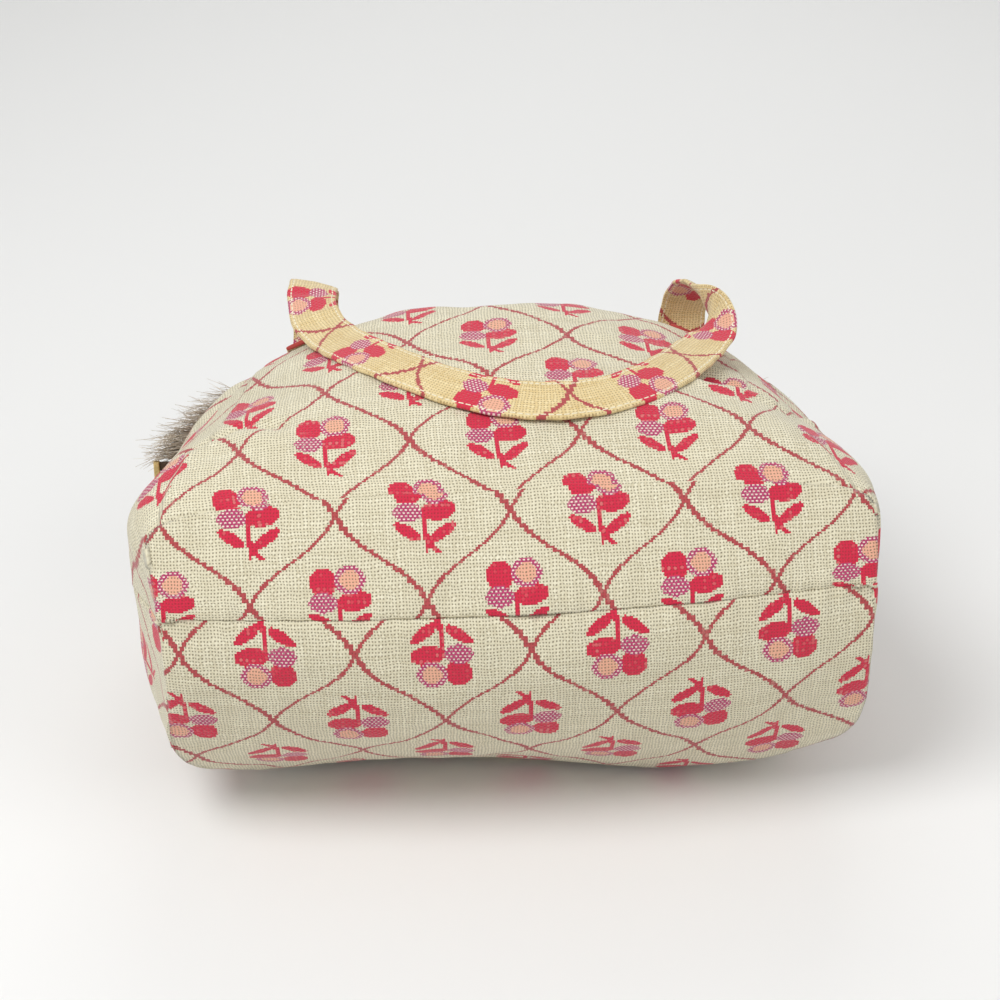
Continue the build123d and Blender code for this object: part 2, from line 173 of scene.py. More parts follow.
def clothGrid(side):
    # One cloth as a grid: each column runs from the bottom seam over the base to its rim, then
    # along the wall to the mouth. The wall is a spline through the rounded outlines.
    spread = np.linspace(-1, 1, bag["columns"])
    angle = pi / 2 * (1 - spread - bag["columnCrowding"] * np.sin(pi * spread)) * side
    rings = np.stack([ringPoints(section, angle) for section in sections])
    fine = np.linspace(sections[0, 0], sections[-1, 0], bag["fineRows"])
    tube = naturalSpline(sections[:, 0], rings, fine)
    behind = tube[..., 1] - baseSurface(tube[..., 0], tube[..., 2])
    first = np.argmax(behind > 0, axis=0)
    columns = np.arange(bag["columns"])
    before, after = behind[first - 1, columns], behind[first, columns]
    start = fine[first - 1] + (fine[1] - fine[0]) * (-before) / (after - before)
    share = np.linspace(0, 1, bag["wallRows"]) ** bag["rowCrowding"]
    at = start + (fine[-1] - start) * share[:, None]
    place = (at - fine[0]) / (fine[1] - fine[0])
    low = np.clip(place.astype(int), 0, len(fine) - 2)
    part = (place - low)[..., None]
    wall = tube[low, columns] * (1 - part) + tube[low + 1, columns] * part
    rim = wall[0]
    inner = np.linspace(rim[0, 0], rim[-1, 0], bag["columns"])
    share = np.linspace(0, 1, bag["baseRows"])[:, None]
    x = inner + (rim[:, 0] - inner) * share
    z = seamLine(0) + (rim[:, 2] - seamLine(0)) * share
    base = np.stack([x, baseSurface(x, z), z], axis=-1)
    return base, wall


def lineDistance(x, y, line):
    # signed distance from a line of points in plan, positive on its left, with a fade at both ends
    best = np.full(x.shape, 1e9)
    sign = np.ones(x.shape)
    reach = np.zeros(x.shape)
    total = sum(math.dist(a, b) for a, b in zip(line, line[1:]))
    done = 0.0
    for (ax, ay), (bx, by) in zip(line, line[1:]):
        length = math.dist((ax, ay), (bx, by))
        dx, dy = (bx - ax) / length, (by - ay) / length
        run = np.clip((x - ax) * dx + (y - ay) * dy, 0, length)
        offX, offY = x - ax - dx * run, y - ay - dy * run
        distance = np.hypot(offX, offY)
        near = distance < best
        best = np.where(near, distance, best)
        sign = np.where(near, np.sign(dx * offY - dy * offX), sign)
        reach = np.where(near, (done + run) / total, reach)
        done += length
    fade = smooth(0.0, 0.18, reach) * (1 - smooth(0.82, 1.0, reach))
    return best * sign, fade


creases = {
    "leftPinch": [(-168, 84), (-150, 92), (-124, 98), (-96, 82)],
    "rightRidge": [(78, 121), (96, 111), (122, 108), (150, 100)],
    "rightStrip": [(128, 128), (140, 112), (150, 98)],
    "leftPull": [(-150, 150), (-128, 182), (-112, 214)],
    "rightPull": [(150, 140), (138, 178), (122, 212)],
    "crownDent": [(-40, 214), (-6, 200), (36, 213)],
    "pinchDepth": 3.4, "pinchLip": 1.9, "ridgeHeight": 2.6, "dipDepth": 4.5, "stripHeight": 1.8,
    "crownDepth": 1.8, "pullDepth": 2.2, "waviness": 0.7, "pucker": 0.55, "puckerStep": 11.0,
    "sideGroove": 1.2, "bottomGroove": 0.5, "cornerGroove": 1.1, "cornerFrom": 130.0,
}


def bump(distance, width):
    # exp(-(d / w)^2)
    return np.exp(-(distance / width) ** 2)


def creaseHeight(side, points, acrossCloth, upCloth, toMouth):
    # sum of folds along drawn lines, slow waves over the cloth and puckers along its seams
    x, y, z = points[..., 0], points[..., 1], points[..., 2]
    height = np.zeros(x.shape)
    if side > 0:
        distance, fade = lineDistance(x, y, creases["leftPinch"])
        lip = creases["pinchLip"] * bump(distance + 11, 8)
        height += fade * (lip - creases["pinchDepth"] * bump(distance, 4.5))
        distance, fade = lineDistance(x, y, creases["rightRidge"])
        dip = creases["dipDepth"] * bump(distance - 12, 9)
        height += fade * (creases["ridgeHeight"] * bump(distance + 2, 5) - dip)
        distance, fade = lineDistance(x, y, creases["rightStrip"])
        height += fade * (creases["stripHeight"] * bump(distance, 3) - 1.2 * bump(distance + 7, 4))
        distance, fade = lineDistance(x, y, creases["crownDent"])
        height -= fade * creases["crownDepth"] * bump(distance, 12)
    for name, turn in (("leftPull", -1), ("rightPull", 1)):
        distance, fade = lineDistance(x, y, creases[name])
        height -= fade * creases["pullDepth"] * (
            bump(distance, 5) - 0.6 * bump(distance + 12 * turn, 7))
    a, b = acrossCloth / 1000, upCloth / 1000
    waves = (
        np.sin(64 * a + 31 * b + 0.7) * np.sin(23 * a - 71 * b + 2.1 * side)
        + 0.7 * np.sin(118 * a - 37 * b + 1.3) * np.sin(41 * a + 96 * b + side)
        + 0.45 * np.sin(190 * a + 150 * b + 2.9) * np.sin(88 * a - 205 * b)
    )
    clearOfTable = smooth(4, 24, z)
    height += creases["waviness"] * waves * clearOfTable
    near = bump(upCloth, 9) + bump(toMouth, 7)
    beat = 2 * pi * acrossCloth / creases["puckerStep"] + 1.5 * np.sin(acrossCloth / 23)
    height += creases["pucker"] * near * np.sin(beat)
    return height * (1 - 0.5 * bump(toMouth, 4))


def outwardNormals(points):
    # cross product of the grid's two directions
    normal = np.cross(np.gradient(points, axis=1), np.gradient(points, axis=0))
    return normal / np.maximum(np.linalg.norm(normal, axis=-1, keepdims=True), 1e-9)


def makePanel(name, side):
    # one cloth: the grid moved along its normals by the creases, kept off the table, with maps that
    # give each point's place on the flat cloth and its distance to the mouth in millimetres
    base, wall = clothGrid(side)
    centre = bag["columns"] // 2
    # on the base the cloth is square to the seam, and on the wall its threads follow the surface
    baseUp = along(base * [0, 1, 1], 0)
    baseAcross = np.broadcast_to(base[..., 0], baseUp.shape)
    wallAcross = along(wall, 1)
    wallAcross = wallAcross - (
        wallAcross[:, centre:centre + 1] + wallAcross[:, centre - 1:centre]) / 2
    depth = baseUp[-1].copy()
    corner = np.abs(wallAcross[0]) > bag["baseLength"] / 2 - 4
    depth[corner] = depth[~corner].max()
    wallUp = depth + acrossRows(wall)
    toMouth = wallUp[-1] - wallUp
    points = np.concatenate([base, wall[1:]])
    across = np.concatenate([baseAcross, wallAcross[1:]])
    up = np.concatenate([baseUp, wallUp[1:]])
    farAway = np.full(baseUp.shape, 240.0)
    mouth = np.concatenate([farAway, toMouth[1:]])
    normal = outwardNormals(points)
    if (normal[60, centre] * (0, 0, side)).sum() < 0:
        normal = -normal
    height = creaseHeight(side, points, across, up, mouth)
    sideSeam = np.minimum(np.arange(bag["columns"]), np.arange(bag["columns"])[::-1])
    height -= creases["sideGroove"] * bump(sideSeam, 1.2)[None, :]
    row = np.arange(len(points))[:, None]
    height -= creases["bottomGroove"] * bump(up, 2.2) * (row < 12)
    atCorner = np.abs(points[..., 0]) > creases["cornerFrom"]
    height -= creases["cornerGroove"] * atCorner * bump(row - bag["baseRows"], 1.3)
    points = points + normal * height[..., None]
    points[..., 2] = np.maximum(points[..., 2], bag["tableGap"] + 0.15)
    rows, columns = points.shape[:2]
    quads = gridFaces(rows, columns, flip=side < 0)
    onWall = quads.min(axis=1) >= (bag["baseRows"] - 1) * columns
    joinAcross, joinUp = across.copy(), up.copy()
    joinAcross[bag["baseRows"] - 1], joinUp[bag["baseRows"] - 1] = wallAcross[0], wallUp[0]
    choose = onWall[:, None]
    u = np.where(choose, joinAcross.ravel()[quads], across.ravel()[quads])
    v = np.where(choose, joinUp.ravel()[quads], up.ravel()[quads])
    cloth = np.stack([u * side, v], axis=-1)
    edge = np.stack([u * side, mouth.ravel()[quads]], axis=-1)
    piece = makeMesh(name, points.reshape(-1, 3), quads, cloth, edge)
    wallBuild = piece.modifiers.new("cloth", "SOLIDIFY")
    wallBuild.thickness = bag["clothThickness"] * 0.001
    wallBuild.offset = -1
    return piece


frontCloth = makePanel("front_cloth", 1)
backCloth = makePanel("back_cloth", -1)

print("straps")
strap = {
    "width": 25.0, "thickness": 2.4, "stations": 300, "edgeWave": 0.5, "cup": 0.35,
    "sideRoundness": 0.22, "faceRoundness": 0.45,
    "wrinkles": [(0.15, 3, 1.4), (0.18, 2.5, -1.6), (0.21, 3, 1.6), (0.25, 4, -1.3),
                 (0.735, 3, 1.4), (0.765, 3, -1.6), (0.80, 3, 1.3)],
}
# middle of the strap and the direction across it, where it is sewn on, bends and lies
frontPath = np.array([
    [-94.7, 212.8, 169.1, -0.90, -0.39, -0.18], [-94.7, 222.6, 162.8, -0.93, -0.33, -0.15],
    [-94.6, 231.9, 153.8, -0.96, -0.25, -0.12], [-94.5, 237.5, 145.5, -0.98, -0.19, -0.09],
    [-94.3, 241.6, 135.7, -0.99, -0.14, -0.07], [-94.2, 247.8, 130.4, -0.99, -0.11, -0.05],
    [-93.1, 254.0, 137.5, -1.00, -0.07, -0.04], [-92.2, 257.0, 158.7, -1.00, -0.04, -0.02],
    [-91.3, 247.0, 182.0, -0.84, -0.24, 0.48], [-90.5, 201.0, 188.8, -0.92, -0.32, -0.24],
    [-80.2, 170.6, 189.3, -0.89, -0.39, -0.22], [-66.5, 143.1, 194.1, -0.82, -0.55, -0.16],
    [-44.2, 114.8, 197.0, -0.68, -0.72, -0.14], [-14.0, 93.4, 194.9, -0.42, -0.88, -0.22],
    [20.0, 85.3, 192.7, -0.05, -0.96, -0.27], [50.2, 90.5, 192.8, 0.40, -0.89, -0.22],
    [76.5, 110.9, 191.9, 0.72, -0.67, -0.18], [95.5, 140.4, 187.6, 0.86, -0.51, -0.07],
    [108.1, 166.1, 185.9, 0.80, -0.56, 0.20], [111.0, 186.0, 186.0, 0.30, -0.45, 0.84],
    [112.5, 210.0, 181.0, -0.62, -0.16, 0.77], [110.5, 240.0, 176.0, -0.95, 0.10, 0.28],
    [106.2, 255.7, 156.6, -1.00, 0.04, 0.02], [105.1, 253.4, 132.8, -1.00, 0.09, 0.04],
    [104.3, 246.3, 124.6, -0.99, 0.13, 0.07], [104.4, 240.1, 129.9, -0.98, 0.18, 0.09],
    [104.6, 236.0, 139.7, -0.96, 0.24, 0.11], [104.7, 230.4, 148.0, -0.94, 0.30, 0.14],
    [104.8, 221.1, 156.9, -0.90, 0.40, 0.18], [104.9, 211.2, 163.0, -0.86, 0.47, 0.21],
])
backPath = np.array([
    [-96.8, 173.4, 15.5, -0.93, -0.13, 0.34], [-96.7, 185.6, 18.6, -0.94, -0.12, 0.32],
    [-96.7, 198.1, 23.2, -0.95, -0.11, 0.29], [-96.6, 206.5, 26.7, -0.96, -0.11, 0.27],
    [-96.6, 213.5, 29.6, -0.96, -0.10, 0.26], [-96.6, 222.0, 31.4, -0.99, -0.05, 0.13],
    [-96.6, 227.6, 24.2, -1.00, 0.00, 0.00], [-96.6, 226.4, 15.2, -1.00, 0.00, 0.00],
    [-97.0, 218.0, 5.5, -1.00, 0.00, 0.00], [-97.0, 209.0, 1.9, -1.00, 0.00, 0.00],
    [-97.0, 199.0, 1.5, -1.00, 0.00, 0.00], [-94.0, 172.0, 1.5, -0.97, -0.24, 0.00],
    [-82.0, 138.0, 1.5, -0.89, -0.46, 0.00], [-60.0, 114.0, 1.5, -0.70, -0.71, 0.00],
    [-26.0, 91.0, 1.5, -0.41, -0.91, 0.00], [16.0, 81.0, 1.5, 0.00, -1.00, 0.00],
    [54.0, 91.0, 1.5, 0.49, -0.87, 0.00], [79.0, 114.0, 1.5, 0.83, -0.55, 0.00],
    [92.0, 140.0, 1.5, 0.96, -0.28, 0.00], [97.0, 172.0, 1.5, 1.00, -0.10, 0.00],
    [98.0, 199.0, 1.5, 1.00, 0.00, 0.00], [98.0, 209.0, 1.9, 1.00, 0.00, 0.00],
    [98.0, 218.0, 5.5, 1.00, 0.00, 0.00], [96.6, 227.6, 19.0, 1.00, 0.00, 0.00],
    [96.6, 228.2, 27.4, 1.00, 0.00, 0.00], [96.6, 222.8, 34.2, 0.99, -0.06, 0.14],
    [96.6, 214.4, 32.4, 0.95, -0.12, 0.27], [96.6, 207.2, 29.1, 0.95, -0.13, 0.28],
    [96.7, 198.7, 25.2, 0.95, -0.13, 0.30], [96.7, 186.1, 20.4, 0.93, -0.15, 0.33],
    [96.8, 173.9, 17.2, 0.92, -0.16, 0.35],
])


def makeStrap(name, path, wrinkles=()):
    # flat rounded profile carried along a spline: middle + across * w + up * t, where the profile
    # is a flattened superellipse; wrinkles are (share of the length, width, height)
    reached = np.concatenate([[0], np.cumsum(np.linalg.norm(np.diff(path[:, :3], axis=0), axis=1))])
    at = np.linspace(0, reached[-1], strap["stations"])
    middle = naturalSpline(reached, path[:, :3], at)
    across = np.stack([np.interp(at, reached, path[:, 3 + k]) for k in range(3)], axis=-1)
    forward = np.gradient(middle, axis=0)
    forward /= np.linalg.norm(forward, axis=1, keepdims=True)
    across -= forward * (across * forward).sum(axis=1, keepdims=True)
    across /= np.linalg.norm(across, axis=1, keepdims=True)
    up = np.cross(forward, across)
    turn = np.linspace(0, 2 * pi, 25)[:-1]
    wide = (np.sign(np.cos(turn)) * np.abs(np.cos(turn)) ** strap["sideRoundness"]
            * strap["width"] / 2)
    thick = (np.sign(np.sin(turn)) * np.abs(np.sin(turn)) ** strap["faceRoundness"]
             * strap["thickness"] / 2)
    cup = strap["cup"] * np.sin(at / 19)[:, None] * (wide / strap["width"] * 2) ** 2
    edge = 1 + strap["edgeWave"] / strap["width"] * np.sin(at / 3.1 + 2 * np.sin(at / 17))[:, None]
    lift = np.zeros((len(at), len(turn)))
    for share, width, height in wrinkles:
        lift += (height * bump(at - share * reached[-1], width)[:, None]
                 * np.cos(wide / strap["width"] * 2.4))
    points = middle[:, None] + across[:, None] * (wide * edge)[..., None]
    points = points + up[:, None] * (thick + cup + lift)[..., None]
    points = points.reshape(-1, 3)
    count, ring = len(at), len(turn)
    index = np.arange(count * ring).reshape(count, ring)
    after = np.roll(index, -1, axis=1)
    quads = np.stack([index[:-1], after[:-1], after[1:], index[1:]], axis=-1).reshape(-1, 4)
    faces = quads.tolist() + [index[0, ::-1].tolist(), index[-1].tolist()]
    girth = np.broadcast_to(np.concatenate([wide, wide[:1]]), (count, ring + 1))
    run = np.broadcast_to(at[:, None], (count, ring + 1))
    place = np.stack([run, girth], axis=-1)
    uv = np.stack([place[:-1, :-1], place[:-1, 1:], place[1:, 1:], place[1:, :-1]], axis=2)
    caps = np.zeros((2 * ring, 2))
    return makeMesh(name, points, faces, np.concatenate([uv.reshape(-1, 2), caps]))


frontStrap = makeStrap("front_strap", frontPath, strap["wrinkles"])
backStrap = makeStrap("back_strap", backPath)

print("zip tapes and fringe")
mouth = {"halfWidth": 161.0, "rise": 62.0, "drop": 72.0, "power": 1.8, "tilt": 14.5, "shift": -4.0}
zipTape = {
    "width": 14.0, "tail": 17.5, "tailWidth": 5.0, "toothSide": 1.2, "lift": 0.9, "thickness": 0.5,
    "ripple": 0.12, "rippleStep": 4.3, "dark": (0.035, 0.018, 0.010, 1),
    "light": (0.085, 0.045, 0.025, 1),
}


def mouthPoint(x, y, out):
    # point of the mouth's plane: x across, y up in the plane, out away from the bag
    lean = math.radians(mouth["tilt"])
    return np.stack([
        x + mouth["shift"],
        bag["mouthDistance"] + y * math.sin(lean) + out * math.cos(lean),
        bag["mouthHeight"] + y * math.cos(lean) - out * math.sin(lean),
    ], axis=-1)


def rimPoint(angle, half, height):
    # (a cos t, h sin t) / (|cos t|^p + |sin t|^p)^(1/p)
    power = mouth["power"]
    size = (np.abs(np.cos(angle)) ** power + np.abs(np.sin(angle)) ** power) ** (1 / power)
    return half * np.cos(angle) / size, height * np.sin(angle) / size


def makeZipTape(name, side):
    # a band between the mouth's rim and a line one tape's width further in, with a narrow tail
    height = mouth["rise"] if side > 0 else mouth["drop"]
    angle = np.radians(np.linspace(172, 0.5, 180))
    sewnX, sewnY = rimPoint(angle, mouth["halfWidth"] - 0.4, height - 0.4)
    angle = np.radians(np.linspace(176, 0.5, 180))
    freeX, freeY = rimPoint(angle, mouth["halfWidth"] - 1, height - zipTape["width"])
    freeY = freeY + zipTape["toothSide"]
    sewnY = np.maximum(sewnY, freeY + 0.4)
    tailX = np.linspace(-mouth["halfWidth"] - zipTape["tail"], -168.0, 12)
    tailLow = np.full(12, zipTape["toothSide"])
    tailHigh = tailLow + zipTape["tailWidth"]
    sewn = np.stack([np.concatenate([tailX, sewnX]), np.concatenate([tailHigh, sewnY])], axis=-1)
    free = np.stack([np.concatenate([tailX, freeX]), np.concatenate([tailLow, freeY])], axis=-1)
    share = np.linspace(0, 1, 9)[:, None, None]
    flat = sewn + (free - sewn) * share
    run = np.concatenate([[0], np.cumsum(np.linalg.norm(np.diff(sewn, axis=0), axis=1))])
    ripple = zipTape["ripple"] * np.sin(run / zipTape["rippleStep"])[None, :] * (1 - share[..., 0])
    points = mouthPoint(flat[..., 0], side * flat[..., 1], zipTape["lift"] + ripple)
    rows, columns = points.shape[:2]
    quads = gridFaces(rows, columns, flip=side > 0)
    width = np.linalg.norm(flat - sewn, axis=-1)
    uv = np.stack([np.broadcast_to(run, width.shape).ravel()[quads], width.ravel()[quads]], axis=-1)
    piece = makeMesh(name, points.reshape(-1, 3), quads, uv)
    wall = piece.modifiers.new("tape", "SOLIDIFY")
    wall.thickness = zipTape["thickness"] * 0.001
    wall.offset = 0
    return piece


frontTape = makeZipTape("front_tape", 1)
backTape = makeZipTape("back_tape", -1)

# dark and brown are painted shade on the natural cotton threads; pale and tip are the cotton's own
# colour
fringe = {
    "wispLength": 11.0, "bundleLength": 29.0, "rightLength": 19.0, "bundleStrands": 700,
    "backStrands": 90, "rightStrands": 70, "clumps": 18, "thickness": 0.62,
    "bundleSpan": (138, 172), "rightSpan": (12, 40),
    "seed": 11, "dark": (0.12, 0.075, 0.045, 1), "shadedBrown": (0.44, 0.34, 0.25, 1),
    "pale": (0.74, 0.66, 0.52, 1), "tip": (0.72, 0.65, 0.54, 1),
}


def makeStrands(name, starts, ways, lengths, sag, widths, tones):
    # each strand is a thin three-sided tapering tube along start + way s L - z sag s^2, with a curl
    count, steps = len(starts), 7
    s = np.linspace(0, 1, steps)[None, :, None]
    random = np.random.default_rng(fringe["seed"] + count)
    curl = random.normal(0, 1, (count, 1, 3)) * lengths[:, None, None] * 0.09
    middle = (starts[:, None] + ways[:, None] * s * lengths[:, None, None]
              + curl * np.sin(pi * 1.4 * s) * s)
    middle[..., 2] -= (sag[:, None] * s[..., 0] ** 2)
    middle[..., 2] = np.maximum(middle[..., 2], 1.2)
    forward = np.gradient(middle, axis=1)
    forward /= np.linalg.norm(forward, axis=-1, keepdims=True)
    side = np.cross(forward, np.array([0.2, 0.3, 1.0]))
    side /= np.linalg.norm(side, axis=-1, keepdims=True)
    other = np.cross(forward, side)
    turn = np.arange(3) * 2 * pi / 3
    radius = widths[:, None, None] / 2 * (1 - 0.75 * s)
    outward = side[:, :, None] * np.cos(turn)[:, None] + other[:, :, None] * np.sin(turn)[:, None]
    points = (middle[:, :, None] + radius[..., None] * outward).reshape(-1, 3)
    index = np.arange(count * steps * 3).reshape(count, steps, 3)
    after = np.roll(index, -1, axis=2)
    quads = np.stack([index[:, :-1], after[:, :-1], after[:, 1:], index[:, 1:]],
                     axis=-1).reshape(-1, 4)
    tone = np.broadcast_to(tones[:, None, None], index.shape).ravel()
    run = np.broadcast_to(s, (count, steps, 3)).ravel()
    uv = np.stack([tone[quads], run[quads]], axis=-1)
    return makeMesh(name, points, quads, uv)


def makeFringe(name, side):
    # wisps all along the rim, and at the left a dense bundle combed towards the corner
    random = np.random.default_rng(fringe["seed"] + side)
    height = mouth["rise"] if side > 0 else mouth["drop"]
    lean = math.radians(mouth["tilt"])
    planeUp = np.array([0, math.sin(lean), math.cos(lean)])
    planeOut = np.array([0, math.cos(lean), -math.sin(lean)])
    angles = np.radians(np.arange(8, 172, 0.42))
    angles = angles + random.normal(0, 0.004, len(angles))
    strands = fringe["bundleStrands"] if side > 0 else fringe["backStrands"]
    bundle = np.radians(random.uniform(*fringe["bundleSpan"], strands))
    wisps = np.radians(random.uniform(*fringe["rightSpan"], fringe["rightStrands"]))
    angle = np.concatenate([angles, bundle, wisps])
    kind = np.concatenate([np.zeros(len(angles)), np.ones(len(bundle)), np.full(len(wisps), 2)])
    x, y = rimPoint(angle, mouth["halfWidth"] - 0.8, height - 0.8)
    starts = mouthPoint(x, side * y, 1.6 + random.uniform(0, 0.9, len(angle)))
    radial = np.stack([x / mouth["halfWidth"], y / height * side], axis=-1)
    radial /= np.linalg.norm(radial, axis=1, keepdims=True)
    away = radial[:, :1] * [1, 0, 0] + radial[:, 1:] * planeUp
    hand = np.sign(x)[:, None] * np.array([1.0, 0, 0])
    sweep = np.where(kind == 1, 1.7, 0.45)[:, None]
    ways = away + hand * sweep + planeOut * random.normal(0.30, 0.18, (len(angle), 1))
    ways += random.normal(0, 0.13, (len(angle), 3))
    clumpWays = random.normal(0, 0.20, (fringe["clumps"], 3))
    clumpWays = clumpWays[random.integers(0, fringe["clumps"], len(angle))]
    ways += np.where(kind == 1, 1.0, 0.35)[:, None] * clumpWays
    ways[:, 2] -= np.where(kind == 1, 0.20, 0.0)
    ways /= np.linalg.norm(ways, axis=1, keepdims=True)
    size = np.choose(kind.astype(int), [fringe["wispLength"], fringe["bundleLength"],
                                        fringe["rightLength"]])
    lengths = size * random.uniform(0.35, 1.1, len(angle))
    sag = np.choose(kind.astype(int), [1.0, 3.0, 2.0]) * random.uniform(0.2, 1.2, len(angle))
    tones = np.clip(random.normal(0.45, 0.25, len(angle)), 0, 1)
    widths = fringe["thickness"] * random.uniform(0.7, 1.3, len(angle))
    return makeStrands(name, starts, ways, lengths, sag, widths, tones)


frontFringe = makeFringe("front_threads", 1)
backFringe = makeFringe("back_threads", -1)

print("materials")


class Board:
    # short words for joining nodes in a material or a group
    def __init__(self, tree):
        self.tree = tree

    def add(self, kind, **settings):
        node = self.tree.nodes.new(kind)
        for name, value in settings.items():
            setattr(node, name, value)
        return node

    def feed(self, socket, value):
        if isinstance(value, bpy.types.NodeSocket):
            self.tree.links.new(value, socket)
        else:
            socket.default_value = value

    def math(self, operation, a, b=0.5, c=0.5, clamp=False):
        node = self.add("ShaderNodeMath", operation=operation, use_clamp=clamp)
        for socket, value in zip(node.inputs, (a, b, c)):
            self.feed(socket, value)
        return node.outputs[0]

    def mix(self, share, a, b, blend="MIX"):
        node = self.add("ShaderNodeMix", data_type="RGBA", blend_type=blend)
        for socket, value in ((node.inputs["Factor"], share), (node.inputs[6], a),
                              (node.inputs[7], b)):
            self.feed(socket, value)
        return node.outputs[2]

    def ramp(self, value, low, high):
        # 0 below low, 1 above high, straight between
        node = self.add("ShaderNodeMapRange", clamp=True)
        for socket, number in zip(node.inputs, (value, low, high, 0.0, 1.0)):
            self.feed(socket, number)
        return node.outputs[0]

    def noise(self, vector, scale, detail=3.0, rough=0.5):
        node = self.add("ShaderNodeTexNoise")
        for name, value in (("Vector", vector), ("Scale", scale), ("Detail", detail),
                            ("Roughness", rough)):
            self.feed(node.inputs[name], value)
        return node.outputs["Fac"]

    def vector(self, x, y, z=0.0):
        node = self.add("ShaderNodeCombineXYZ")
        for socket, value in zip(node.inputs, (x, y, z)):
            self.feed(socket, value)
        return node.outputs[0]

    def bumps(self, height, strength, distance):
        node = self.add("ShaderNodeBump")
        node.inputs["Strength"].default_value = strength
        node.inputs["Distance"].default_value = distance
        self.feed(node.inputs["Height"], height)
        return node.outputs[0]

    def oval(self, point, centre, radii, degrees=0.0):
        # distance from the middle of an oval, 1 on its edge
        place = self.add("ShaderNodeMapping", vector_type="TEXTURE")
        self.feed(place.inputs["Vector"], point)
        place.inputs["Location"].default_value = (*centre, 0)
        place.inputs["Rotation"].default_value = (0, 0, math.radians(degrees))
        place.inputs["Scale"].default_value = (*radii, 1)
        size = self.add("ShaderNodeVectorMath", operation="LENGTH")
        self.feed(size.inputs[0], place.outputs[0])
        return size.outputs["Value"]


def newGroup(name, takes, gives):
    group = bpy.data.node_groups.new(name, "ShaderNodeTree")
    for label, kind, value in takes:
        socket = group.interface.new_socket(label, in_out="INPUT", socket_type=kind)
        if value is not None:
            socket.default_value = value
    for label, kind in gives:
        group.interface.new_socket(label, in_out="OUTPUT", socket_type=kind)
    board = Board(group)
    return group, board, board.add("NodeGroupInput").outputs, board.add("NodeGroupOutput").inputs


def makeWeaveGroup():
    # plain weave on flat cloth: threads over and under, and holes where four threads meet, which
    # the materials paint dark as the shade seen through the weave
    group, b, takes, gives = newGroup(
        "plainWeave",
        [("Across", "NodeSocketFloat", 0), ("Along", "NodeSocketFloat", 0),
         ("Thread across", "NodeSocketFloat", 1.45), ("Thread along", "NodeSocketFloat", 1.6)],
        [("Height", "NodeSocketFloat"), ("Hole", "NodeSocketFloat"),
         ("Thread tone", "NodeSocketFloat")])
    slow = b.vector(b.math("MULTIPLY", takes["Across"], 0.05),
                    b.math("MULTIPLY", takes["Along"], 0.05))
    wobble = b.noise(slow, 3.0)
    drift = b.math("MULTIPLY", b.math("SUBTRACT", wobble, 0.5), 2.2)
    drifted = b.math("ADD", takes["Across"], drift), b.math("ADD", takes["Along"], drift)
    s = b.math("MULTIPLY", b.math("DIVIDE", drifted[0], takes["Thread across"]), pi)
    t = b.math("MULTIPLY", b.math("DIVIDE", drifted[1], takes["Thread along"]), pi)
    sinS, sinT = b.math("SINE", s), b.math("SINE", t)
    roundS = b.math("POWER", b.math("ABSOLUTE", sinS), 0.6)
    roundT = b.math("POWER", b.math("ABSOLUTE", sinT), 0.6)
    over = b.math("MULTIPLY", sinS, sinT)  # above 0 where the lengthwise thread is on top
    body = b.math("MAXIMUM", roundS, roundT)
    b.feed(gives["Height"], b.math("MULTIPLY_ADD", over, 0.22, b.math("MULTIPLY", body, 0.75)))
    b.feed(gives["Hole"], b.math("SUBTRACT", 1.0, b.ramp(body, 0.45, 0.93)))
    column, row = b.math("FLOOR", b.math("DIVIDE", s, pi)), b.math("FLOOR", b.math("DIVIDE", t, pi))
    columnTone = b.noise(b.vector(column, b.math("MULTIPLY", t, 0.02)), 0.83, 1.0)
    rowTone = b.noise(b.vector(b.math("MULTIPLY", s, 0.02), row, 7.0), 0.79, 1.0)
    side = b.ramp(over, -0.15, 0.15)
    tone = b.math("MULTIPLY_ADD", side, b.math("SUBTRACT", columnTone, rowTone), rowTone)
    b.feed(gives["Thread tone"], tone)
    return group


# ovals in millimetres from the middle of the diamond: centre, radii and turn in degrees
sprigOvals = {
    "topLeft": ((-6.6, 10.2), (6.2, 6.4)), "lowRight": ((7.0, 1.4), (7.8, 4.8), 8),
    "stem": ((0.8, -9.5), (1.15, 9.5), 4), "root": ((4.2, -16.6), (3.6, 1.1), -38),
    "leftLeaf": ((-7.2, -8.6), (7.0, 2.7), -34), "rightLeaf": ((8.2, -9.4), (7.6, 2.6), 38),
    "ring": ((5.4, 11.0), (6.8, 6.6)), "heart": ((5.4, 11.0), (4.6, 4.4)),
    "lowLeft": ((-6.8, 0.6), (6.4, 4.7)),
}
sprigSizes = {
    "dotWide": 1.0, "dotHigh": 0.75, "trellisCurve": 0.07, "smoothSide": 0.027, "ropedExtra": 0.012,
    "ropeWave": 0.014, "ropeTwist": 1.15,
}


